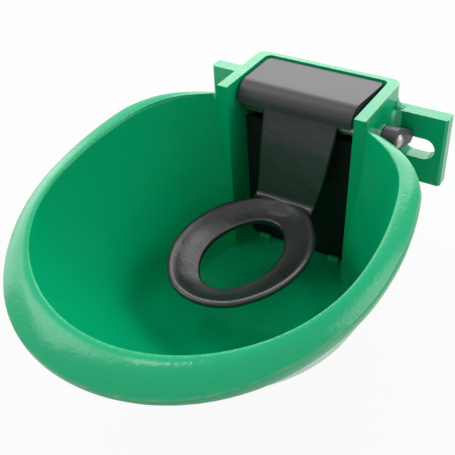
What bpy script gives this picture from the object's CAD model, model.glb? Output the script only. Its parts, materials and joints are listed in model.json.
# %% [markdown]
# # A cast drinking bowl with a press tongue
# The object hangs on a wall: an oval cast-iron bowl with a valve box behind it, a black press tongue
# with an oval ring, a loose cover over the valve and a steel hinge pin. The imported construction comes
# in first and stays where it is, and every surface made below is laid over it. Sizes are written in
# millimetres, with x to the right, y into the wall and z up, and go into the meshes in metres.

# %% Frame and helpers
import json
import math

import bmesh
import bpy
import numpy as np
from mathutils import Matrix, Vector

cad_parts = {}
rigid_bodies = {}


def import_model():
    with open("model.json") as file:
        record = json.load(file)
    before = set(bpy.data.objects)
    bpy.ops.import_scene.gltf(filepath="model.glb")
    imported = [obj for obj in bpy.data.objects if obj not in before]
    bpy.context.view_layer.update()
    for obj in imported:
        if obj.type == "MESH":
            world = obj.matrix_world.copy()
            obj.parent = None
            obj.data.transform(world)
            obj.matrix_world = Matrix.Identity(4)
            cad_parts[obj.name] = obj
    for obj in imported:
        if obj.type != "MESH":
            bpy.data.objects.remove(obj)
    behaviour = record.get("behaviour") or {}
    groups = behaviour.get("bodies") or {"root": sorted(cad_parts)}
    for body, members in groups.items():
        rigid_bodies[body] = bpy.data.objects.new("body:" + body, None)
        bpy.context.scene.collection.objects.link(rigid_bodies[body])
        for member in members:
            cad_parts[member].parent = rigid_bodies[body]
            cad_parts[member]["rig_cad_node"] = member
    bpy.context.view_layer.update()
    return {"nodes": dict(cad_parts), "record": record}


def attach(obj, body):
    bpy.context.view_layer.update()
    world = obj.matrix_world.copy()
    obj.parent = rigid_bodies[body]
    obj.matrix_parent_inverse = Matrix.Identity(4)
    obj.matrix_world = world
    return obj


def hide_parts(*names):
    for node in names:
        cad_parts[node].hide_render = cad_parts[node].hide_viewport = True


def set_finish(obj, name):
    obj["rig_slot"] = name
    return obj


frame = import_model()
MM = 0.001
SIDES = ((-1, "left"), (1, "right"))
print(len(frame["nodes"]), "nodes of the construction are in place")

# %% [markdown]
# ## Putting computed points into a mesh
# A surface here is an array of points with one row per station along a path and one column per place
# across it. It could be modelled by hand, but neighbouring rows and columns make the quads by
# themselves, so one helper turns any such grid into a mesh with no loop over its points. Rows or
# columns may close on themselves.


# %% Grid helper
def grid_faces(rows, cols, close_rows=False, close_cols=False):
    """Quads of a grid: (i, j), (i, j+1), (i+1, j+1), (i+1, j), with wrap-around where it is closed."""
    i = np.arange(rows if close_rows else rows - 1)
    j = np.arange(cols if close_cols else cols - 1)
    i, j = [a.ravel() for a in np.meshgrid(i, j, indexing="ij")]
    i2, j2 = (i + 1) % rows, (j + 1) % cols
    return np.stack([i * cols + j, i * cols + j2, i2 * cols + j2, i2 * cols + j], axis=1)


print("a tube of 2 by 4 points has", len(grid_faces(2, 4, close_cols=True)), "faces")

# %% Mesh helper
MERGE_DISTANCE, SLIVER_DISTANCE = 2e-5, 1e-6


def tidy_mesh(mesh):
    """Merge doubles, drop faces with no area and point the normals outwards; distances in metres."""
    work = bmesh.new()
    work.from_mesh(mesh)
    bmesh.ops.remove_doubles(work, verts=work.verts, dist=MERGE_DISTANCE)
    bmesh.ops.dissolve_degenerate(work, edges=work.edges, dist=SLIVER_DISTANCE)
    bmesh.ops.recalc_face_normals(work, faces=work.faces)
    work.to_mesh(mesh)
    work.free()


def put(name, points, faces):
    """Smooth-shaded mesh object from points in millimetres and rows of corner indices."""
    points = np.asarray(points, float).reshape(-1, 3) * MM
    mesh = bpy.data.meshes.new(name)
    mesh.from_pydata(points.tolist(), [], [[int(k) for k in face] for face in faces])
    mesh.validate()
    piece = bpy.data.objects.new(name, mesh)
    bpy.context.scene.collection.objects.link(piece)
    tidy_mesh(mesh)
    mesh.polygons.foreach_set("use_smooth", np.full(len(mesh.polygons), True))
    print(name, "has", len(mesh.polygons), "faces")
    return piece


# %% Rounded edges and soft steps
def bevel(piece, width, segments=3, angle=32.0):
    """Bevel modifier on edges sharper than the angle in degrees; flat faces keep their flat shading."""
    mod = piece.modifiers.new("edge_round", "BEVEL")
    mod.width = width * MM
    mod.segments = segments
    mod.limit_method = "ANGLE"
    mod.angle_limit = math.radians(angle)
    mod.harden_normals = True
    mod.use_clamp_overlap = True
    return piece


def smoothstep(x):
    """0 below 0, 1 above 1, and 3x^2 - 2x^3 between."""
    x = np.clip(x, 0.0, 1.0)
    return x * x * (3 - 2 * x)


# %% Marks for thin enamel
NEAR_SQUARED = 0.01  # square millimetres: a point counts as on the edge within 0.1 mm


def mark_edges(piece, edge):
    """Point attribute edge_thin: 1 at the piece's points that lie on the edge points, 0 elsewhere."""
    spot = np.zeros(len(piece.data.vertices) * 3)
    piece.data.vertices.foreach_get("co", spot)
    blocks = np.array_split(spot.reshape(-1, 3) / MM, 40)
    gap = np.concatenate([((block[:, None] - edge) ** 2).sum(axis=2).min(axis=1) for block in blocks])
    value = (gap < NEAR_SQUARED).astype(float)
    piece.data.attributes.new("edge_thin", "FLOAT", "POINT").data.foreach_set("value", value)
    print(piece.name, "has", int(value.sum()), "points on thin edges")


# %% [markdown]
# ## Camera
# The object is seen from the front right and from above. The lens is a little longer than a normal one,
# and a small roll tips the far side of the box up. Two angles and a roll are easier to read and to
# change than a rotation matrix, so the matrix is worked out from them.

# %% Camera
CAMERA_SPOT = Vector((0.1938, -0.4283, 0.2662))
CAMERA_AZIMUTH = 33.0
CAMERA_ELEVATION = 37.5
CAMERA_ROLL = -2.8
LENS_MM = 62.14


def aimed(spot, azimuth, elevation, roll):
    """Camera placement: it looks down from azimuth (from -Y towards +X) and elevation, turned by roll."""
    a, e, r = (math.radians(v) for v in (azimuth, elevation, roll))
    back = Vector((math.sin(a) * math.cos(e), -math.cos(a) * math.cos(e), math.sin(e)))
    right = Vector((math.cos(a), math.sin(a), 0.0))
    up = back.cross(right)
    right_r = math.cos(r) * right + math.sin(r) * up
    up_r = -math.sin(r) * right + math.cos(r) * up
    turn = Matrix((right_r, up_r, back)).transposed().to_4x4()
    turn.translation = spot
    return turn


camera_data = bpy.data.cameras.new("camera")
camera_data.lens = LENS_MM
camera_data.sensor_width = 36.0
camera_data.clip_start = 0.01
camera = bpy.data.objects.new("camera", camera_data)
bpy.context.scene.collection.objects.link(camera)
camera.matrix_world = aimed(CAMERA_SPOT, CAMERA_AZIMUTH, CAMERA_ELEVATION, CAMERA_ROLL)
bpy.context.scene.camera = camera
print("camera stands", round(CAMERA_SPOT.length, 3), "m from the wall origin")

# %% [markdown]
# ## Outline of the casting
# The bowl is an egg-shaped outline that shrinks towards the floor, and the valve box is a narrow bay
# behind it. Both are one casting. Two shells joined by a Boolean would leave a seam where they meet, so
# the surface is one grid: columns go round a keyhole-shaped outline, from the middle of the back wall to
# the nose, and rows go from the middle of the floor up the inside, over the rim and down the outside.
# One half is computed and mirrored.

# %% Casting sizes
BOX_HALF_W, BOX_TOP, BOX_FRONT = 50.0, 38.0, -57.0
BOX_BACK_T, BOX_CORNER_R, BOX_CORNER_IN_R = 4.0, 6.0, 4.0
BOX_INNER_TOP, BOX_INNER_FOOT = 43.0, 40.5
FLOOR_Z, FLOOR_T, WALL_CAST = -88.0, 6.5, 7.0
RIM_HALF_W, RIM_REACH, RIM_BACK = 93.8, 100.0, -46.0
RIM_Z, RIM_SLOPE, RIM_DIP, RIM_DIP_LENGTH = 42.5, 0.146, 2.4, 10.0
N_BACK, N_CORNER, N_SIDE, N_END, N_BOWL = 8, 8, 26, 8, 96  # columns in each stretch of the outline
BOX_COLS = N_BACK + N_CORNER + N_SIDE + N_END
IS_BOX = np.arange(BOX_COLS + N_BOWL) < BOX_COLS
MIRROR_X = np.array([-1.0, 1.0, 1.0])
print("half outline:", BOX_COLS, "columns round the box and", N_BOWL, "round the bowl")


# %% Rim height and the bowl's depth curves
WIDTH_CURVE, REACH_CURVE = (0.50, 1.5, 0.85), (0.40, 1.6, 0.70)  # share left at the floor, power, root


def rim_height(y):
    """Inner edge of the rim: a plane that falls towards the nose and dips where the rim meets the box."""
    ahead = np.maximum(BOX_FRONT - y, 0.0)
    return RIM_Z + RIM_SLOPE * np.minimum(y, BOX_FRONT) - RIM_DIP * np.exp(-(ahead / RIM_DIP_LENGTH) ** 1.5)


def shrink(u, curve):
    """Size at depth u, 0 at the rim and 1 at the floor: foot + (1 - foot)(1 - u^power)^root."""
    foot, power, root = curve
    return foot + (1.0 - foot) * (1.0 - np.clip(u, 0, 1) ** power) ** root


print("half way down the bowl is", round(2 * RIM_HALF_W * shrink(0.5, WIDTH_CURVE)), "mm wide")

# %% Egg-shaped outline
BULGE, BULGE_AT, BULGE_SPREAD = 0.17, 124.0, 14.0  # the last two in degrees from the nose


def egg(u, theta):
    """Point and outward normal of the bowl's outline at depth u, theta from the nose.

    It is a superellipse, |x/a|^n + |y/b|^n = 1. Its exponent n grows from 2 at the nose to 2.4 at the back,
    and is 0.17 more round 124 degrees, where the rim turns in towards the box.
    """
    a, b = RIM_HALF_W * shrink(u, WIDTH_CURVE), RIM_REACH * shrink(u, REACH_CURVE)
    bulge = BULGE * np.exp(-((np.degrees(theta) - BULGE_AT) / BULGE_SPREAD) ** 2)
    n = 2.0 + 0.2 * (1 - np.cos(theta)) + bulge
    s, c = np.sin(theta), np.cos(theta)
    r = (np.abs(s / a) ** n + np.abs(c / b) ** n) ** (-1.0 / n)
    normal = np.stack([np.sign(s) * np.abs(r * s / a) ** (n - 1) / a,
                       -np.sign(c) * np.abs(r * c / b) ** (n - 1) / b], axis=-1)
    normal = normal / np.linalg.norm(normal, axis=-1, keepdims=True)
    return np.stack([r * s, RIM_BACK - b - r * c], axis=-1), normal


def meeting_angle(u):
    """Angle at which the outline crosses the front of the box, found by interpolation."""
    theta = np.linspace(math.pi / 2, math.pi, 400)
    y = egg(u, theta)[0][:, 1]
    return float(np.interp(BOX_FRONT, y, theta))


print("the rim meets the box at", round(math.degrees(meeting_angle(0.0)), 1), "degrees")

# %% Rim band
BAND_SIDE, BAND_NOSE_MORE, BAND_NOSE_SPREAD = 11.0, 8.5, 45.0
BAND_END, BAND_TAPER, BAND_LEAST = 156.0, 36.0, 0.02


def band_width(theta):
    """Width of the rim band: widest at the nose, and running out where it meets the box."""
    angle = np.degrees(np.abs(theta))
    taper = np.clip((BAND_END - angle) / BAND_TAPER, BAND_LEAST, 1.0) ** 0.75
    return (BAND_SIDE + BAND_NOSE_MORE * np.exp(-(angle / BAND_NOSE_SPREAD) ** 3)) * taper


def band_drop(y):
    """How much lower the band's outer edge lies than its inner edge."""
    return 0.6 + 0.033 * np.maximum(BOX_FRONT - y, 0)


print("band width at nose and side:", np.round(band_width(np.array([0.0, math.pi / 2])), 1))


# %% [markdown]
# ## Inner and outer outlines
# On the casting the water side and the outside are not a fixed distance apart: the box has drafted walls,
# and the rim stands out as a band. A Solidify modifier knows one thickness only. So each side has its own
# outline with the same number of columns, and the band is the space between the two at the top.

# %% Inner outline
START_BLEND = 14.0  # length over which the bowl's start slides out to the box's wall


def inner_half_width(z):
    """Half width inside the box, which is drafted: wider at the top than at the foot."""
    return BOX_INNER_FOOT + (BOX_INNER_TOP - BOX_INNER_FOOT) * (z - FLOOR_Z) / (BOX_TOP - FLOOR_Z)


def box_bay(half, back_y, r):
    """Back wall and round back corner of the box, as (x, y) from the middle of the wall."""
    back = np.stack([np.linspace(0, half - r, N_BACK, endpoint=False), np.full(N_BACK, back_y)], axis=1)
    turn = np.linspace(0, math.pi / 2, N_CORNER, endpoint=False)
    corner = np.stack([half - r + r * np.sin(turn), back_y - r + r * np.cos(turn)], axis=1)
    return np.concatenate([back, corner])


def inner_outline(u):
    """Half outline of the water side at depth u, from the middle of the back wall to the nose."""
    half = inner_half_width((1 - u) * rim_height(BOX_FRONT) + u * FLOOR_Z)
    bay = box_bay(half, -BOX_BACK_T, BOX_CORNER_IN_R)
    side_y = np.linspace(-BOX_BACK_T - BOX_CORNER_IN_R, BOX_FRONT, N_SIDE)
    side = np.stack([np.full(N_SIDE, half), side_y], axis=1)
    bowl, _ = egg(u, np.linspace(meeting_angle(u), 0, N_BOWL))
    start = max(bowl[0, 0], half)
    bowl[:, 0] += (start - bowl[0, 0]) * np.exp(-(BOX_FRONT - bowl[:, 1]) / START_BLEND)
    end = np.stack([np.linspace(half, start, N_END + 2)[1:-1], np.full(N_END, BOX_FRONT)], axis=1)
    return np.concatenate([bay, side, end, bowl])


print("inside, the bowl is", round(2 * inner_outline(0.0)[:, 0].max(), 1), "mm wide at the rim")


# %% Outer outline
def outer_outline(u, offset):
    """Half outline of the outside at depth u; offset gives the wall outside the egg for each angle."""
    bay = box_bay(BOX_HALF_W, 0.0, BOX_CORNER_R)
    theta = np.linspace(meeting_angle(u), 0, N_BOWL)
    bowl, normal = egg(u, theta)
    bowl = bowl + normal * offset(theta)[:, None]
    behind = bowl[:, 1] > BOX_FRONT
    bowl[behind, 0] = np.maximum(bowl[behind, 0], BOX_HALF_W)
    last = min(-BOX_CORNER_R - 4.0, bowl[0, 1] + 1.0)
    side = np.stack([np.full(N_SIDE, BOX_HALF_W), np.linspace(-BOX_CORNER_R, last, N_SIDE)], axis=1)
    end = side[-1] + (bowl[0] - side[-1]) * np.linspace(0, 1, N_END + 2)[1:-1, None]
    return np.concatenate([bay, side, end, bowl])


def bead(u, theta):
    """Share of the band beyond the wall, and outward bulge, at depth u and angle theta from the nose.

    The side under the crisp edge stands upright for 3.6 mm or more, most at 52 degrees, and then runs in to
    the wall. Behind 55 degrees it also swells outwards by up to 1.3 mm.
    """
    angle = np.degrees(np.abs(theta))
    spread = np.where(angle < 52, 25.0, 45.0)
    upright = 3.6 + 7.5 * np.exp(-((angle - 52.0) / spread) ** 2)
    below = (RIM_Z - FLOOR_Z) * u
    share = 1.0 - 0.85 * smoothstep((below - upright) / 9.0) - 0.15 * smoothstep((below - upright - 5.0) / 30.0)
    swell = 1.3 * smoothstep((angle - 55.0) / 45.0)
    return share, swell * np.sin(np.clip(below / 4.0, 0, 1) * math.pi / 2) * (1 - smoothstep((below - 6.0) / 14.0))


print("outside, the band is", round(2 * outer_outline(0.0, band_width)[:, 0].max(), 1), "mm wide")

# %% [markdown]
# ## Surface of the casting
# The rows are stacked in the order in which a finger would run over the casting: from the middle of the
# floor out and up the water side, round the rim's inner edge, over the tops of the box's walls and down
# to the band, out to the band's edge, round the bead and down the outside, and in again underneath. The
# floor shrinks to a line and not to a point, so no fan of thin triangles catches the light.

# %% Floor and inside
SPINE_FRONT, SPINE_BACK = -100.0, -14.0


def rim_line(plan):
    """y at which each column reads the rim's height: the box's columns all read it at the box's front."""
    return np.where(IS_BOX, BOX_FRONT, plan[:, 1])


def level(plan, u, sink=0.0):
    """Row of points at depth u, between the rim's height and the floor, which may be sunk."""
    return np.column_stack([plan, (1 - u) * rim_height(rim_line(plan)) + u * (FLOOR_Z - sink)])


def spine_of(row):
    """Line along the middle, to which a row of the floor or of the underside shrinks."""
    return np.column_stack([np.zeros(len(row)), np.clip(row[:, 1], SPINE_FRONT, SPINE_BACK), row[:, 2]])


def inside_rows():
    """Floor from its middle line outwards, then the water side up to the rim's rounding."""
    foot = level(inner_outline(1.0), 1.0)
    spine = spine_of(foot)
    floor_rows = [spine + (foot - spine) * t for t in np.linspace(0, 1, 9)[:-1]]
    depths = 1 - np.linspace(0, 1, 34) ** 1.5
    return floor_rows + [level(inner_outline(u), u) for u in depths[:-1] if u > 0.03]


print(len(inside_rows()), "rows make the water side")

# %% Rim and wall tops
SOFT_EDGE, SOFT_START = 2.6, 22.0
CROWN_SHARE, CROWN_MOST = 0.05, 0.9
BAND_EDGE_SKIP = 12  # columns next to the box where the band's edge is covered well by enamel


def top_line(inner, outer_plan):
    """Plan of the line from which the band starts: outer face of the box's walls, inner edge of the bowl."""
    wall = np.column_stack([np.minimum(outer_plan[:, 0], BOX_HALF_W), outer_plan[:, 1]])
    line = np.where(IS_BOX[:, None], wall, inner[:, :2])
    first = N_BACK + N_CORNER
    line[first:first + N_SIDE, 1] = -BOX_CORNER_R + (BOX_FRONT + BOX_CORNER_R) * np.linspace(0, 1, N_SIDE)
    line[first + N_SIDE:BOX_COLS] = (BOX_HALF_W, BOX_FRONT)
    return line


def rim_rows():
    """Inner edge, wall tops and band; also the points of the wall's and the band's sharp edges.

    A quarter circle comes up from the water side. On the bowl it ends under the band, which starts on the
    inner line again, so a thin lip stands over it. The band falls outwards by t^1.5 at the share t of its
    width, and has a crown of 4q(1 - q) with q = t^0.7.
    """
    inner = level(inner_outline(0.0), 0.0)
    outer_plan = outer_outline(0.0, band_width)
    start = top_line(inner, outer_plan)
    soft = np.where(IS_BOX, 0.0, SOFT_EDGE * smoothstep(np.maximum(BOX_FRONT - inner[:, 1], 0) / SOFT_START))
    away = outer_plan - inner[:, :2]
    away = away / np.maximum(np.linalg.norm(away, axis=1, keepdims=True), 1e-9)
    rows = [np.column_stack([inner[:, :2] + away * (soft * (1 - math.cos(turn)))[:, None],
                             inner[:, 2] - soft * (1 - math.sin(turn))])
            for turn in np.linspace(0, math.pi / 2, 7)[:-1]]
    # the box's columns stand up to the wall's top; the bowl has no wall here, so its columns stay low
    top = np.where(IS_BOX, BOX_TOP, inner[:, 2])
    near = inner[:, :2] + away * soft[:, None]
    rows += [np.column_stack([near + (start - near) * t, top]) for t in (0.0, 0.25, 0.5, 0.75, 1.0)]
    wall_edge = rows[-1][IS_BOX]
    base = np.where(IS_BOX, rim_height(BOX_FRONT), inner[:, 2])
    rows.append(np.column_stack([start, base]))
    edge_z = rim_height(rim_line(outer_plan)) - band_drop(rim_line(outer_plan))
    width = band_width(np.linspace(meeting_angle(0.0), 0, N_BOWL))
    crown = np.concatenate([np.zeros(BOX_COLS), np.minimum(CROWN_SHARE * width, CROWN_MOST)])
    for t in np.linspace(0, 1, 13)[1:]:
        z = base + (edge_z - base) * t ** 1.5 + crown * 4 * t ** 0.7 * (1 - t ** 0.7)
        rows.append(np.column_stack([start + (outer_plan - start) * t, z]))
    return rows, np.concatenate([wall_edge, rows[-1][BOX_COLS + BAND_EDGE_SKIP:]])


print(len(rim_rows()[0]), "rows make the rim")

# %% Outside and underside
DROP_DEPTH = 0.34  # depth at which the band's drop has run out


def outside_row(u):
    """Outside at depth u: the egg, offset by the wall and by what the bead adds to it."""
    def offset(theta):
        share, bulge = bead(u, theta)
        return WALL_CAST + (band_width(theta) - WALL_CAST) * share + bulge

    plan = outer_outline(u, offset)
    row = level(plan, u, FLOOR_T)
    row[:, 2] -= max(0.0, 1 - u / DROP_DEPTH) * band_drop(rim_line(plan))
    return row


def outside_rows():
    """Outside from under the band's edge down, then the underside in to its middle line."""
    rows = [outside_row(u) for u in np.concatenate([np.linspace(0.007, 0.16, 20), np.linspace(0.18, 1.0, 26)])]
    under, spine = rows[-1], spine_of(rows[-1])
    return rows + [spine + (under - spine) * t for t in np.linspace(1, 0, 7)[1:]]


print(len(outside_rows()), "rows make the outside")

# %% The casting
rim, sharp = rim_rows()
half = np.array(inside_rows() + rim + outside_rows())
whole = np.concatenate([half, (half[:, ::-1] * MIRROR_X)[:, 1:-1]], axis=1)
cast_bowl = put("cast_bowl", whole, grid_faces(whole.shape[0], whole.shape[1], close_cols=True))
mark_edges(cast_bowl, np.concatenate([sharp, sharp * MIRROR_X]))
bevel(cast_bowl, 0.7)
print("casting grid", whole.shape, "lowest", whole[:, :, 2].min())
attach(cast_bowl, "bowl")
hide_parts("bowl_casting")
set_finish(cast_bowl, "enamel")

# %% [markdown]
# ## Prisms, turned parts and loops
# Plates, pads and ledges are flat outlines pushed along an axis. Pins, screws and hubs are profiles turned
# round a line. Both could be primitives that are scaled and cut, but an outline states every size once and
# comes out as a closed mesh. A small bevel gives it the soft edge of a casting or a moulding.


# %% Prism and lathe helpers
def prism(name, loop, axis, start, end, edge=0.6):
    """Closed 2-D loop in the plane of the other two axes (in x, y, z order), pushed along axis."""
    loop = np.asarray(loop, float)
    count = len(loop)
    others = [k for k in range(3) if k != axis]
    points = np.zeros((2, count, 3))
    points[:, :, others] = loop
    points[0, :, axis], points[1, :, axis] = start, end
    sides = grid_faces(2, count, close_cols=True).tolist()
    piece = put(name, points, sides + [list(range(count)), list(range(count, 2 * count))])
    return bevel(piece, edge) if edge else piece


def lathe(name, profile, origin, axis, sectors=64):
    """Profile of (distance along the axis, radius) rows, turned once round the axis through origin."""
    profile = np.asarray(profile, float)
    turn = np.linspace(0, 2 * math.pi, sectors, endpoint=False)
    others = [k for k in range(3) if k != axis]
    points = np.zeros((len(profile), sectors, 3))
    points[:, :, axis] = profile[:, :1]
    points[:, :, others[0]] = profile[:, 1:] * np.cos(turn)
    points[:, :, others[1]] = profile[:, 1:] * np.sin(turn)
    return put(name, points + np.asarray(origin, float), grid_faces(len(profile), sectors, close_cols=True))


# %% Loops, and where a piece belongs
def arc(centre, radius, start, end, steps):
    """Points on a circle from start to end degrees, both included."""
    a = np.radians(np.linspace(start, end, steps))
    return np.column_stack([centre[0] + radius * np.cos(a), centre[1] + radius * np.sin(a)])


def oblong(low_a, low_b, high_a, high_b):
    """Loop of a rectangle from its lower to its upper corner."""
    return [(low_a, low_b), (high_a, low_b), (high_a, high_b), (low_a, high_b)]


def across(side, near, far):
    """Start and end along x of a piece between two distances from the middle, on one side."""
    return sorted((side * near, side * far))


def belongs(piece, body, slot_name, *nodes):
    """The piece moves with the body, takes its finish from the slot and stands for the nodes."""
    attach(piece, body)
    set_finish(piece, slot_name)
    if nodes:
        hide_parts(*nodes)
    return piece


# %% [markdown]
# ## Wall ears
# Each ear is a flat lug with a level slot for an M12 bolt. Cutting the slot with a Boolean would leave long
# thin faces round it. Here a loop round the slot and a loop round the lug share their angles, so the faces
# between them are a grid: through the slot, over the front face and round the outside.

# %% Ear sizes and loops
EAR_HALF_SPAN, EAR_INNER_X, EAR_T, EAR_TOP, EAR_FOOT, EAR_CHAMFER = 84.5, 47.0, 9.6, 23.2, -24.5, 1.6
SLOT_X, SLOT_L, SLOT_W = 67.0, 23.0, 14.5
TINY = 1e-9  # keeps a division from meeting zero


def ear_loops(side):
    """Slot and lug outlines on shared angles about the slot's centre, as (x, z) points.

    Each is a distance along a ray: to the lug's rectangle, and to the slot's flats or its round ends.
    """
    low = np.array([EAR_INNER_X - SLOT_X, EAR_FOOT])
    high = np.array([EAR_HALF_SPAN - SLOT_X, EAR_TOP])
    corners = [math.atan2(z, x) for x in (low[0], high[0]) for z in (low[1], high[1])]
    angle = np.sort(np.concatenate([np.linspace(-math.pi, math.pi, 96, endpoint=False), corners]))
    c, s = np.cos(angle), np.sin(angle)
    reach_x = np.where(c > 0, high[0], low[0]) / np.where(np.abs(c) < TINY, TINY, c)
    reach_z = np.where(s > 0, high[1], low[1]) / np.where(np.abs(s) < TINY, TINY, s)
    lug = np.minimum(np.abs(reach_x), np.abs(reach_z))
    r, straight = SLOT_W / 2, (SLOT_L - SLOT_W) / 2
    flat = r / np.maximum(np.abs(s), TINY)
    round_end = straight * np.abs(c) + np.sqrt(np.maximum(r * r - (straight * s) ** 2, 0))
    slot = np.where(np.abs(flat * c) <= straight, flat, round_end)
    centre, ray, mirror = np.array([SLOT_X, 0.0]), np.column_stack([c, s]), np.array([side, 1.0])
    return (centre + ray * slot[:, None]) * mirror, (centre + ray * lug[:, None]) * mirror


print("each ear has", len(ear_loops(1)[0]), "points round its slot")


# %% Ears
FILLET_R = 5.0


def make_ear(side, name):
    """Lug with a slot: back and front of the slot, middle and edge of the face, chamfer, back edge."""
    slot, lug = ear_loops(side)
    on_outer_side = np.abs(lug[:, :1]) > EAR_HALF_SPAN - 0.1
    inward = np.where(on_outer_side, EAR_CHAMFER, 0.0) * np.array([-side, 0.0])
    rows = [(slot, 0.0), (slot, -EAR_T), ((slot + lug + inward) / 2, -EAR_T), (lug + inward, -EAR_T),
            (lug, -EAR_T + EAR_CHAMFER), (lug, 0.0)]
    points = np.array([np.column_stack([p[:, 0], np.full(len(p), y), p[:, 1]]) for p, y in rows])
    piece = put(name, points, grid_faces(len(rows), len(slot), close_rows=True, close_cols=True))
    return bevel(piece, 0.9, 3, 40)


def fillet(name, side, hollow, sunk, foot, axis, start, end):
    """Prism under a hollow arc; its other three corners are sunk into the lug and the side wall."""
    loop = np.vstack([hollow, [(BOX_HALF_W + FILLET_R, sunk[1])], [sunk], [(sunk[0], foot)]])
    return prism(name, loop * np.array([side, 1.0]), axis, start, end, edge=0.0)


def make_ear_root(side, name):
    """Concave fillet between the lug and the side wall, full height of the lug."""
    hollow = arc((BOX_HALF_W + FILLET_R, -EAR_T - FILLET_R), FILLET_R, 180, 90, 12)
    return fillet(name, side, hollow, (BOX_HALF_W - 1.5, -EAR_T + 1.5), -EAR_T - FILLET_R,
                  2, EAR_FOOT + 0.3, EAR_TOP - 0.3)


def make_ear_shoulder(side, name):
    """Concave fillet on top of the lug, where it runs into the side wall."""
    hollow = arc((BOX_HALF_W + FILLET_R, EAR_TOP + FILLET_R), FILLET_R, 180, 270, 12)
    return fillet(name, side, hollow, (BOX_HALF_W - 1.2, EAR_TOP - 1.2), EAR_TOP + FILLET_R,
                  1, -EAR_T + 0.9, -3.4)


for side, word in SIDES:
    belongs(make_ear(side, "ear_" + word), "bowl", "enamel", "bowl_casting")
    belongs(make_ear_shoulder(side, "ear_shoulder_" + word), "bowl", "enamel", "bowl_casting")
    belongs(make_ear_root(side, "ear_root_" + word), "bowl", "enamel", "bowl_casting")

# %% [markdown]
# ## Pads, ledges and stops of the casting
# The pin's hole has a raised pad on the outside of each wall. Inside the box the cover stands on small
# ledges, ribs hold the guard plate, and two low stops keep its foot from sliding. In the casting's own
# grid they would need many more columns, so each is a small prism that is sunk into the wall or floor.

# %% Cast pads
PIN_Y, PIN_Z, PAD_T = -38.0, 19.0, 1.5
GUARD_Y, GUARD_T, GUARD_TOP = -36.0, 3.0, 8.0
GUARD_BACK = GUARD_Y + GUARD_T
# name, side view as (y, z), nearest and farthest distance from the middle, bevel
CAST_PADS = (
    ("pin_pad_", oblong(PIN_Y - 12, PIN_Z - 16, PIN_Y + 12, PIN_Z + 2.5), BOX_HALF_W - 1, BOX_HALF_W + PAD_T, 0.7),
    ("cover_ledge_", oblong(-26, 20.5, -8, 24.5), 36.8, 44.0, 0.6),
    ("guard_rib_", oblong(GUARD_BACK, FLOOR_Z - 1, GUARD_BACK + 3.5, 4.0), 36.5, 43.0, 0.6),
    ("floor_stop_", oblong(GUARD_Y - 4.6, FLOOR_Z - 1, GUARD_Y - 0.6, FLOOR_Z + 4), 22.5, 31.5, 1.4),
)
for side, word in SIDES:
    for name, loop, near, far, edge in CAST_PADS:
        pad = prism(name + word, loop, 0, *across(side, near, far), edge=edge)
        belongs(pad, "bowl", "enamel", "bowl_casting")

# %% [markdown]
# ## Cover
# The cover is a moulded lid with a rolled front. A bevelled box would give it the same radius at the front
# and at the back. One profile does better: flat on top and round at the front, it runs across the box, its
# back corners are rounded in plan, and two cheeks close its ends.

# %% Cover skin
COVER_HALF_W, COVER_TOP, COVER_FRONT, COVER_BACK = 40.6, 37.0, -47.6, -4.6
COVER_LIP, COVER_R, COVER_T, COVER_CORNER, COVER_SKEW = 23.6, 10.0, 2.2, 5.0, 3.4
COVER_COLS = 33


def cover_side(t):
    """Side view of the lid's skin as (y, z), shrunk by t, from the back foot over the top to the lip."""
    front, back, top, r = COVER_FRONT + t, COVER_BACK - t, COVER_TOP - t, COVER_R - t
    back_r = max(1.6 - t, 0.3)
    over = np.vstack([[(back, COVER_LIP)], arc((back - back_r, top - back_r), back_r, 0, 90, 6)])
    flat = np.column_stack([np.linspace(back - back_r - 1.5, front + r, 16), np.full(16, top)])
    roll = arc((front + r, top - r), r, 90, 180, 18)[1:]
    return np.vstack([over, flat, roll, [(front, COVER_LIP)]])


def make_cover():
    """Skin across the box, with columns set by a sine so that they crowd at the ends.

    The half width shrinks along a quarter circle towards the back corners, and the right end is drawn in
    towards the front by the skew.
    """
    loop = np.vstack([cover_side(0.0), cover_side(COVER_T)[::-1]])
    behind = np.clip(loop[:, 0] - (COVER_BACK - COVER_CORNER), 0, COVER_CORNER)
    half_w = COVER_HALF_W - COVER_CORNER + np.sqrt(COVER_CORNER ** 2 - behind ** 2)
    pull = COVER_SKEW * np.clip((COVER_BACK - loop[:, :1]) / (COVER_BACK - COVER_FRONT), 0, 1)
    x = half_w[:, None] * np.sin(np.linspace(-math.pi / 2, math.pi / 2, COVER_COLS))
    x = x - pull * smoothstep((x - 20.0) / 18.0)
    y, z = (np.broadcast_to(loop[:, k:k + 1], x.shape) for k in (0, 1))
    faces = grid_faces(len(loop), COVER_COLS, close_rows=True).tolist()
    ends = [[i * COVER_COLS + k for i in range(len(loop))] for k in (0, COVER_COLS - 1)]
    return bevel(put("cover_skin", np.stack([x, y, z], axis=-1), faces + ends), 0.5, 2, 50)


belongs(make_cover(), "cover", "cover_black", "valve_cover")

# %% Cover cheeks
CHEEK_INSET = 0.6
cheek = np.vstack([cover_side(CHEEK_INSET)[1:-1], [(COVER_FRONT + CHEEK_INSET, COVER_LIP + 1)],
                   [(COVER_BACK - 5.4, COVER_LIP + 1)]])
cheek = cheek[cheek[:, 0] < COVER_BACK - 5.2]
for side, word in SIDES:
    outer = COVER_HALF_W - 0.3 - max(side, 0) * 3.0  # the right end is drawn in
    ends = across(side, outer, COVER_HALF_W - COVER_T - 1.2)
    belongs(prism("cover_cheek_" + word, cheek, 0, *ends, edge=0.0), "cover", "cover_black", "valve_cover")

# %% [markdown]
# ## Guard plate
# The guard is a moulded plate between tongue and valve. It fills the box from wall to wall, so its outline
# is worked out from the same draft as the walls, less a gap, and its lower corners are round.


# %% Guard plate
GUARD_GAP, GUARD_FOOT_GAP, GUARD_CORNER = 0.4, 0.5, 8.0


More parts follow.
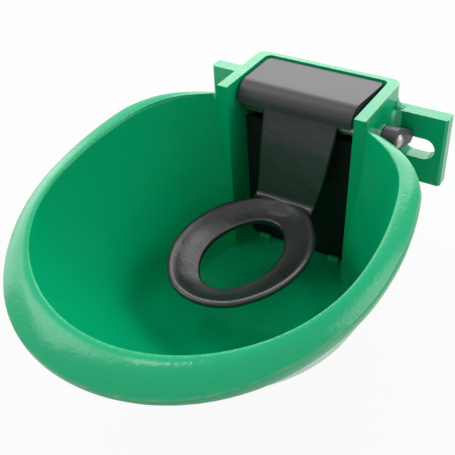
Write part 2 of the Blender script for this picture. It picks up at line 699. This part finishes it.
def guard_loop():
    """Front view of the guard as (x, z): drafted sides, round lower corners."""
    foot, r = FLOOR_Z + GUARD_FOOT_GAP, GUARD_CORNER
    foot_w, top_w = inner_half_width(foot) - GUARD_GAP, inner_half_width(GUARD_TOP) - GUARD_GAP
    right = np.vstack([arc((foot_w - r, foot + r), r, -90, 0, 10), [(top_w, GUARD_TOP)]])
    return np.vstack([right, (right * np.array([-1, 1]))[::-1]])


belongs(prism("guard", guard_loop(), 1, GUARD_Y, GUARD_BACK, edge=0.5), "bowl", "guard_black", "guard_plate")
print("guard from", round(guard_loop()[:, 0].min(), 1), "to", round(guard_loop()[:, 0].max(), 1))

# %% [markdown]
# ## Hinge pin
# The pin is a turned steel rod. It shows between the neck and the walls, and its domed end stands out on
# the right. A cylinder would have neither the dome nor the groove of the retaining ring, so a profile of
# both is turned about the pin's line.

# %% Hinge pin
PIN_R, PIN_LEFT, PIN_RIGHT, DOME_R = 4.0, -57.0, 66.5, 2.4
GROOVE_R, GROOVE_W = 3.4, 1.1
dome_turn = np.linspace(0, math.pi / 2, 9)
dome = np.column_stack([PIN_RIGHT - DOME_R + DOME_R * np.sin(dome_turn), PIN_R - DOME_R + DOME_R * np.cos(dome_turn)])
groove = -BOX_HALF_W - PAD_T - 0.1
pin_profile = np.vstack([[(PIN_LEFT, 0), (PIN_LEFT, 3.2), (PIN_LEFT + 0.8, PIN_R), (groove - GROOVE_W, PIN_R),
                          (groove - GROOVE_W, GROOVE_R), (groove, GROOVE_R), (groove, PIN_R)], dome, [(PIN_RIGHT, 0)]])
belongs(lathe("pin_turned", pin_profile, (0, PIN_Y, PIN_Z), 0), "pin", "steel", "hinge_pin")

# %% [markdown]
# ## Keeper
# The keeper is a moulded arm that grips the pin outside the wall and leans on the ear. Seen from the side
# it is two circles and their tangents, so its outline is worked out from the circles alone.


# %% Keeper
def tangent_loop(first, second, steps=20):
    """Outline round two circles (y, z, r): an arc of each, joined by the outer tangents."""
    (ya, za, ra), (yb, zb, rb) = first, second
    along = math.degrees(math.atan2(zb - za, yb - ya))
    spread = math.degrees(math.acos((ra - rb) / math.hypot(yb - ya, zb - za)))
    return np.vstack([arc((yb, zb), rb, along - spread, along + spread, steps),
                      arc((ya, za), ra, along + spread, along + 360 - spread, steps)])


keeper_loop = tangent_loop((PIN_Y + 0.6, PIN_Z + 0.2, 7.0), (-EAR_T - 4.4, PIN_Z - 9.8, 4.4))
belongs(prism("keeper", keeper_loop, 0, 54.0, 64.0, edge=1.0), "bowl", "keeper_black", "pin_keeper")

# %% [markdown]
# ## Ring of the press tongue
# The tongue is one enamelled casting: a hub round the pin, a flat neck and an oval dished ring for the
# animal's nose. The ring is not an ellipse: its sides are flatter and its ends rounder, which four tangent
# arcs give. One section, dished on top, is swept round them.

# %% Tongue sizes
TONGUE_X, RING_X, RING_Y = 1.5, 0.0, -114.2
RING_HALF_W, RING_HALF_L, RING_END_R, RING_W = 41.7, 54.7, 34.2, 19.4
HUB_R, HUB_HALF, HUB_BORE_R, HUB_CHAMFER = 7.0, 26.0, 4.05, 0.6
# distance in from the outer edge, height
RING_SECTION = (
    (RING_W, -37.6), (RING_W, -37.0), (19.1, -36.5), (18.4, -36.2), (16.5, -35.85), (14.0, -35.3),
    (11.5, -34.6), (9.0, -33.7), (7.0, -32.8), (5.2, -31.9), (4.0, -31.4), (3.0, -31.1),
    (2.0, -31.02), (1.1, -31.15), (0.4, -31.6), (0.0, -32.4), (0.1, -33.7), (0.7, -34.6), (2.0, -35.2),
    (9.0, -37.6), (17.0, -40.3), (18.6, -40.3), (RING_W, -39.4), (RING_W, -38.4),
)
print("ring", 2 * RING_HALF_W, "by", 2 * RING_HALF_L, "mm")


# %% Ring
def ring_oval(inwards, turn):
    """Oval of four tangent arcs, moved in from the outer edge: the radius along each ray from the middle."""
    end_y = RING_HALF_L - RING_END_R
    side_r = (RING_HALF_W ** 2 + end_y ** 2 - RING_END_R ** 2) / (2 * (RING_HALF_W - RING_END_R))
    side_x = side_r - RING_HALF_W
    s, c = np.abs(np.sin(turn)), np.abs(np.cos(turn))
    on_end = c * end_y + np.sqrt(np.maximum((RING_END_R - inwards) ** 2 - (s * end_y) ** 2, 0))
    on_side = -s * side_x + np.sqrt(np.maximum((side_r - inwards) ** 2 - (c * side_x) ** 2, 0))
    split_y = end_y + (RING_END_R - inwards) * end_y / math.hypot(end_y, side_x)
    radius = np.where(on_end * c > split_y, on_end, on_side)
    return np.stack([radius * np.sin(turn), -radius * np.cos(turn)], axis=-1)


def ring_grid():
    """Dished ring: the closed section, swept round by angle."""
    turn = np.linspace(0, 2 * math.pi, 200, endpoint=False)
    ovals = [np.column_stack([ring_oval(d, turn), np.full(len(turn), z)]) for d, z in RING_SECTION]
    return np.stack(ovals, axis=1) + np.array([RING_X, RING_Y, 0.0])


ring = ring_grid()
ring_piece = put("ring", ring, grid_faces(ring.shape[0], ring.shape[1], True, True))

# %% [markdown]
# ## Neck of the press tongue
# The neck hangs down from the hub and bends forwards to the ring. A bent box would have one width; here a
# rounded strip is carried along the bent path, and its width and thickness are read from short tables.


# %% Path of the neck
NECK_CORNERS, NECK_BEND_R = [(PIN_Y - 3.8, PIN_Z + 3.5), (-59.0, -33.0), (-76.5, -38.2)], 6.0


def bent_path(corners, radius, steps=14):
    """Polyline in (y, z) with its middle corners rounded by arcs of the radius."""
    corners = np.asarray(corners, float)
    path = [corners[0]]
    for before, here, after in zip(corners[:-2], corners[1:-1], corners[2:]):
        a, b = before - here, after - here
        a, b = a / np.linalg.norm(a), b / np.linalg.norm(b)
        half_angle = math.acos(np.clip(a @ b, -1, 1)) / 2
        start, end = here + a * radius / math.tan(half_angle), here + b * radius / math.tan(half_angle)
        centre = here + (a + b) / np.linalg.norm(a + b) * radius / math.sin(half_angle)
        t = np.linspace(0, 1, steps)[:, None]
        chord = start + (end - start) * t - centre
        path.extend(centre + chord / np.linalg.norm(chord, axis=1, keepdims=True) * radius)
    path.append(corners[-1])
    return np.array(path)


def even_path(path, count):
    """The same path with points at equal steps along it."""
    s = np.concatenate([[0], np.cumsum(np.linalg.norm(np.diff(path, axis=0), axis=1))])
    even = np.linspace(0, s[-1], count)
    return np.column_stack([np.interp(even, s, path[:, 0]), np.interp(even, s, path[:, 1])])


# %% Neck
NECK_EDGE_R, NECK_MOST = 1.5, 26.0


def neck_half_width(y, z):
    """From a table by height, then flared to the ring's end: the larger of the two, softly, at most 26."""
    ahead = np.minimum(y, -60.0) - RING_Y - RING_HALF_L + RING_END_R
    ring_edge = np.sqrt(np.maximum(RING_END_R ** 2 - ahead ** 2, 0))
    half_w = np.interp(z, [-30, -6, 19], [21.0, 24.0, 26.0])
    return np.minimum(0.5 * (half_w + ring_edge + np.sqrt((half_w - ring_edge) ** 2 + 16.0)), NECK_MOST)


def neck_grid():
    """Rounded strip along the path: half width across, half thickness along the path's normal."""
    path = even_path(bent_path(NECK_CORNERS, NECK_BEND_R), 90)
    run = np.gradient(path, axis=0)
    run /= np.linalg.norm(run, axis=1, keepdims=True)
    out = np.column_stack([run[:, 1], -run[:, 0]])
    y, z = path[:, 0], path[:, 1]
    half_w = neck_half_width(y, z)
    half_t = np.interp(y, [-77, -70, -58, -48, -44], [1.4, 2.3, 3.1, 2.9, 2.4])
    centre = np.interp(z, [-33, -18], [0.5, TONGUE_X])[:, None]
    r = NECK_EDGE_R
    cross = np.vstack([arc((0, 0), 1, a, a + 90, 5) for a in (0, 90, 180, 270)])
    sign = np.sign(np.repeat([[1, 1], [-1, 1], [-1, -1], [1, -1]], 5, axis=0))
    wide = sign[:, 0] * (half_w[:, None] - r) + r * cross[:, 0]
    thick = sign[:, 1] * (half_t[:, None] - r) + r * cross[:, 1]
    return np.stack([wide + centre, path[:, :1] + out[:, :1] * thick, path[:, 1:] + out[:, 1:] * thick], axis=-1)


neck = neck_grid()
n_rows, n_cols = neck.shape[:2]
neck_faces = grid_faces(n_rows, n_cols, close_cols=True).tolist()
neck_faces += [list(range(n_cols)), list(range((n_rows - 1) * n_cols, n_rows * n_cols))]
neck_piece = put("neck", neck, neck_faces)

# %% [markdown]
# ## One skin for the tongue
# Ring, neck, hub and the boss that presses the button are one casting. A Boolean union would meet them in
# sharp inside corners. A fine voxel remesh makes them one skin, and a few rounds of smoothing leave the
# soft inside corners of sand casting.


# %% Skin helpers
def join(name, parts):
    """One mesh object from several, deleting the parts."""
    work = bmesh.new()
    for part in parts:
        work.from_mesh(part.data)
    mesh = bpy.data.meshes.new(name)
    work.to_mesh(mesh)
    work.free()
    for part in parts:
        bpy.data.objects.remove(part)
    piece = bpy.data.objects.new(name, mesh)
    bpy.context.scene.collection.objects.link(piece)
    return piece


def one_skin(piece, voxel, relax):
    """Voxel remesh in millimetres, then rounds of smoothing, stored as the piece's own mesh."""
    mod = piece.modifiers.new("skin", "REMESH")
    mod.mode = "VOXEL"
    mod.voxel_size = voxel * MM
    soft = piece.modifiers.new("relax", "SMOOTH")
    soft.factor = 0.5
    soft.iterations = relax
    ready = piece.evaluated_get(bpy.context.evaluated_depsgraph_get())
    mesh = bpy.data.meshes.new_from_object(ready)
    piece.modifiers.clear()
    piece.data = mesh
    mesh.polygons.foreach_set("use_smooth", np.full(len(mesh.polygons), True))
    print(piece.name, "has", len(mesh.polygons), "faces")
    return piece


# %% Tongue
hub_profile = [(-HUB_HALF, HUB_BORE_R), (-HUB_HALF, HUB_R - HUB_CHAMFER), (-HUB_HALF + HUB_CHAMFER, HUB_R),
               (HUB_HALF - HUB_CHAMFER, HUB_R), (HUB_HALF, HUB_R - HUB_CHAMFER), (HUB_HALF, HUB_BORE_R),
               (-HUB_HALF, HUB_BORE_R)]
hub_piece = lathe("hub", hub_profile, (TONGUE_X, PIN_Y, PIN_Z), 0)
boss_piece = prism("boss", oblong(-6.5, -16.5, 9.5, -3.5), 1, -50.0, -44.6, edge=0.0)
tongue = one_skin(join("tongue_cast", [ring_piece, neck_piece, hub_piece, boss_piece]), 0.55, 5)
belongs(tongue, "tongue", "tongue_black", "tongue")

# %% [markdown]
# ## Building materials from nodes
# Every finish is a Principled shader. The plain ones only set its sockets. The enamels also need noise in
# their gloss and their surface, so a few helpers add those nodes. All noise reads object coordinates, so a
# pattern stays on its piece when the piece moves.


# %% Material helpers
def new_material(name, color, roughness, **values):
    """Plain Principled material; extra values go straight to the shader's sockets by name."""
    material = bpy.data.materials.new(name)
    material.use_nodes = True
    shader = material.node_tree.nodes["Principled BSDF"]
    shader.inputs["Base Color"].default_value = (*color, 1.0)
    shader.inputs["Roughness"].default_value = roughness
    for socket, value in values.items():
        shader.inputs[socket.replace("_", " ")].default_value = value
    return material


def add_node(material, kind, **settings):
    """New node of the kind, with its own settings."""
    node = material.node_tree.nodes.new(kind)
    for key, value in settings.items():
        setattr(node, key, value)
    return node


# %% Noise, bumps and gloss
def noise(material, scale, detail=3.0, roughness=0.5):
    """Noise on object coordinates, scale in bumps per metre."""
    links = material.node_tree.links
    place = add_node(material, "ShaderNodeTexCoord")
    node = add_node(material, "ShaderNodeTexNoise")
    node.inputs["Scale"].default_value = scale
    node.inputs["Detail"].default_value = detail
    node.inputs["Roughness"].default_value = roughness
    links.new(place.outputs["Object"], node.inputs["Vector"])
    return node.outputs["Fac"]


def bumps(material, layers):
    """Chain of bump nodes, one for each (height output, strength, distance in metres)."""
    links = material.node_tree.links
    last = None
    for height, strength, distance in layers:
        node = add_node(material, "ShaderNodeBump")
        node.inputs["Strength"].default_value = strength
        node.inputs["Distance"].default_value = distance
        links.new(height, node.inputs["Height"])
        if last is not None:
            links.new(last, node.inputs["Normal"])
        last = node.outputs["Normal"]
    shader = material.node_tree.nodes["Principled BSDF"]
    links.new(last, shader.inputs["Normal"])


def paint_roughness(material, source, low, high):
    """Roughness between low and high, following a 0 to 1 output."""
    links = material.node_tree.links
    spread = add_node(material, "ShaderNodeMapRange")
    spread.inputs["To Min"].default_value = low
    spread.inputs["To Max"].default_value = high
    links.new(source, spread.inputs["Value"])
    links.new(spread.outputs["Result"], material.node_tree.nodes["Principled BSDF"].inputs["Roughness"])


# %% [markdown]
# ## Enamel
# Enamel is glass melted on iron. It pools a little unevenly, so the surface has a fine orange peel and a
# gloss that changes, and it pulls thin over sharp edges, where the ground coat shows through as a pale
# line. The line could be found by the mesh's curvature, but that would mark every bevel; the attribute
# made with the casting marks only the two edges that have it.

# %% Thin enamel on sharp edges
THIN_POWER, PATCH_LOW, PATCH_HIGH, PATCH_LEAST = 2.5, 0.36, 0.62, 0.15


def thin_edges(material, color, amount, scale):
    """Mixes color into the base where the attribute edge_thin is high, broken up by noise of the scale."""
    links = material.node_tree.links
    shader = material.node_tree.nodes["Principled BSDF"]
    mark = add_node(material, "ShaderNodeAttribute", attribute_name="edge_thin")
    sharper = add_node(material, "ShaderNodeMath", operation="POWER")
    sharper.inputs[1].default_value = THIN_POWER
    broken = add_node(material, "ShaderNodeMapRange")
    broken.inputs["From Min"].default_value = PATCH_LOW
    broken.inputs["From Max"].default_value = PATCH_HIGH
    broken.inputs["To Min"].default_value = PATCH_LEAST * amount
    broken.inputs["To Max"].default_value = amount
    share = add_node(material, "ShaderNodeMath", operation="MULTIPLY")
    mix = add_node(material, "ShaderNodeMix", data_type="RGBA")
    mix.inputs["A"].default_value = shader.inputs["Base Color"].default_value[:]
    mix.inputs["B"].default_value = (*color, 1.0)
    links.new(mark.outputs["Fac"], sharper.inputs[0])
    links.new(noise(material, scale, 2.0), broken.inputs["Value"])
    links.new(sharper.outputs["Value"], share.inputs[0])
    links.new(broken.outputs["Result"], share.inputs[1])
    links.new(share.outputs["Value"], mix.inputs["Factor"])
    links.new(mix.outputs["Result"], shader.inputs["Base Color"])


# %% Green and black enamel
enamel = new_material("green_enamel", (0.001, 0.430, 0.180), 0.22, IOR=1.52, Specular_IOR_Level=0.40)
thin_edges(enamel, (0.36, 0.46, 0.18), 0.60, 160.0)
paint_roughness(enamel, noise(enamel, 60.0, 3.0), 0.12, 0.28)
bumps(enamel, [(noise(enamel, 420.0, 2.0), 0.35, 0.0004), (noise(enamel, 45.0, 2.0), 0.3, 0.0012)])

tongue_black = new_material("black_enamel", (0.013, 0.012, 0.014), 0.25, IOR=1.6)
paint_roughness(tongue_black, noise(tongue_black, 80.0, 3.0), 0.20, 0.40)
bumps(tongue_black, [(noise(tongue_black, 420.0, 2.0), 0.28, 0.0004),
                     (noise(tongue_black, 60.0, 2.0), 0.2, 0.0010)])
print("enamels have", len(enamel.node_tree.nodes), "and", len(tongue_black.node_tree.nodes), "nodes")

# %% [markdown]
# ## Mouldings, metals and rubber
# Cover, guard and keeper are black mouldings of unequal gloss, and only the cover has a grain that can be
# seen. The metals are bare and a little dull, as under a stable's roof. They are plain shaders, because
# the pieces are small or hidden and a pattern on them wouldn't show.

# %% The other finishes
cover_black = new_material("satin_moulding", (0.048, 0.043, 0.050), 0.44, IOR=1.5)
bumps(cover_black, [(noise(cover_black, 1500.0, 2.0), 0.2, 0.0001)])
FINISH = {
    "enamel": enamel,
    "tongue_black": tongue_black,
    "cover_black": cover_black,
    "guard_black": new_material("guard_moulding", (0.012, 0.012, 0.013), 0.55, Specular_IOR_Level=0.3),
    "keeper_black": new_material("keeper_moulding", (0.040, 0.036, 0.044), 0.45),
    "steel": new_material("turned_steel", (0.50, 0.46, 0.42), 0.42, Metallic=1.0),
    "brass": new_material("turned_brass", (0.60, 0.42, 0.16), 0.28, Metallic=1.0),
    "rubber": new_material("black_rubber", (0.015, 0.015, 0.015), 0.6),
    "nylon": new_material("natural_nylon", (0.62, 0.60, 0.52), 0.45),
    "zinc": new_material("zinc_plate", (0.52, 0.53, 0.55), 0.35, Metallic=1.0),
}
print(len(FINISH), "finishes")

# %% [markdown]
# ## Every piece gets its slot's finish
# The pieces that come in with the frame know their slot from the record, and those made here were given
# one by name. One loop over each kind hands out the finishes, so that none is forgotten.

# %% Handing out the finishes
slot_of = {part["node"]: part["material_slot"] for part in frame["record"]["subparts"]}
for node, piece in frame["nodes"].items():
    piece.data.materials.clear()
    piece.data.materials.append(FINISH[slot_of[node]])
made_here = [piece for piece in bpy.context.scene.objects
             if piece.type == "MESH" and "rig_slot" in piece and "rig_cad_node" not in piece]
for piece in made_here:
    piece.data.materials.clear()
    piece.data.materials.append(FINISH[piece["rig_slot"]])
print(len(slot_of), "nodes and", len(made_here), "pieces have a finish")

# %% [markdown]
# ## Light
# Broad soft lamps stand round the object, as on a studio table. The rim and the cover mirror the back
# light, and the bowl's hollow is lit by the sky and by itself. One hard lamp would leave the hollow black
# and put a small hot spot on the enamel.

# %% Lamps
LIT_SPOT = Vector((0, -0.10, 0))
# name, place and size in metres, power in watts
LAMPS = (
    ("back_light", (-0.28, 0.85, 0.66), 0.9, 8.5),
    ("side_light", (-1.05, 0.05, 0.30), 0.8, 3.2),
    ("front_light", (-0.76, -0.40, 0.80), 0.55, 3.0),
    ("right_light", (0.95, 0.30, 0.75), 0.7, 4.6),
    ("nose_light", (-0.36, -0.30, 1.10), 0.16, 1.0),
)
for name, spot, size, power in LAMPS:
    data = bpy.data.lights.new(name, "AREA")
    data.shape = "SQUARE"
    data.size = size
    data.energy = power
    lamp = bpy.data.objects.new(name, data)
    bpy.context.scene.collection.objects.link(lamp)
    lamp.location = spot
    lamp.rotation_euler = (LIT_SPOT - Vector(spot)).to_track_quat("-Z", "Y").to_euler()
print(len(LAMPS), "lamps")


# %% Sky
def seen_or_mirrored(tree):
    """Output that is 1 for camera, glossy and transmission rays and 0 for the rays that light things."""
    rays = tree.nodes.new("ShaderNodeLightPath")
    total = rays.outputs["Is Camera Ray"]
    for name in ("Is Glossy Ray", "Is Transmission Ray"):
        either = tree.nodes.new("ShaderNodeMath")
        either.operation = "MAXIMUM"
        tree.links.new(total, either.inputs[0])
        tree.links.new(rays.outputs[name], either.inputs[1])
        total = either.outputs["Value"]
    return total


world = bpy.data.worlds.new("studio")
bpy.context.scene.world = world
world.use_nodes = True
tree = world.node_tree
sky = tree.nodes["Background"]
sky.inputs["Color"].default_value = (1.0, 1.0, 1.0, 1.0)
sky.inputs["Strength"].default_value = 0.50
backdrop = tree.nodes.new("ShaderNodeBackground")  # keeps the node's own pale grey
backdrop.inputs["Strength"].default_value = 1.0
pick = tree.nodes.new("ShaderNodeMixShader")
tree.links.new(seen_or_mirrored(tree), pick.inputs["Fac"])
tree.links.new(sky.outputs["Background"], pick.inputs[1])
tree.links.new(backdrop.outputs["Background"], pick.inputs[2])
tree.links.new(pick.outputs["Shader"], tree.nodes["World Output"].inputs["Surface"])
print("world", world.name, "with", len(tree.nodes), "nodes")

# %% [markdown]
# ## Floor
# The floor is a pale sheet that keeps the object's shadow and is still nearly white to the eye. A white
# sheet under brighter lamps would throw too much light up under the bowl. So it is grey to the rays that
# carry light, and most of it glows white to the rays that are seen or mirrored.

# %% Floor
FLOOR_LEVEL, FLOOR_HALF, GLOW_SHARE = -0.119, 2, 0.93
corners = [(x * FLOOR_HALF, y * FLOOR_HALF, FLOOR_LEVEL) for x, y in ((-1, -1), (1, -1), (1, 1), (-1, 1))]
floor_mesh = bpy.data.meshes.new("floor")
floor_mesh.from_pydata(corners, [], [(0, 1, 2, 3)])
floor = bpy.data.objects.new("floor", floor_mesh)
bpy.context.scene.collection.objects.link(floor)
floor_paint = new_material("floor_paint", (0.55, 0.55, 0.55), 0.9)
glow = add_node(floor_paint, "ShaderNodeEmission")
choice = add_node(floor_paint, "ShaderNodeMixShader")
share = add_node(floor_paint, "ShaderNodeMath", operation="MULTIPLY")
share.inputs[1].default_value = GLOW_SHARE
floor_nodes, floor_links = floor_paint.node_tree.nodes, floor_paint.node_tree.links
floor_links.new(seen_or_mirrored(floor_paint.node_tree), share.inputs[0])
floor_links.new(share.outputs["Value"], choice.inputs["Fac"])
floor_links.new(floor_nodes["Principled BSDF"].outputs["BSDF"], choice.inputs[1])
floor_links.new(glow.outputs["Emission"], choice.inputs[2])
floor_links.new(choice.outputs["Shader"], floor_nodes["Material Output"].inputs["Surface"])
floor_mesh.materials.append(floor_paint)
bpy.context.scene.view_settings.view_transform = "Standard"
print("floor at", FLOOR_LEVEL, "m")
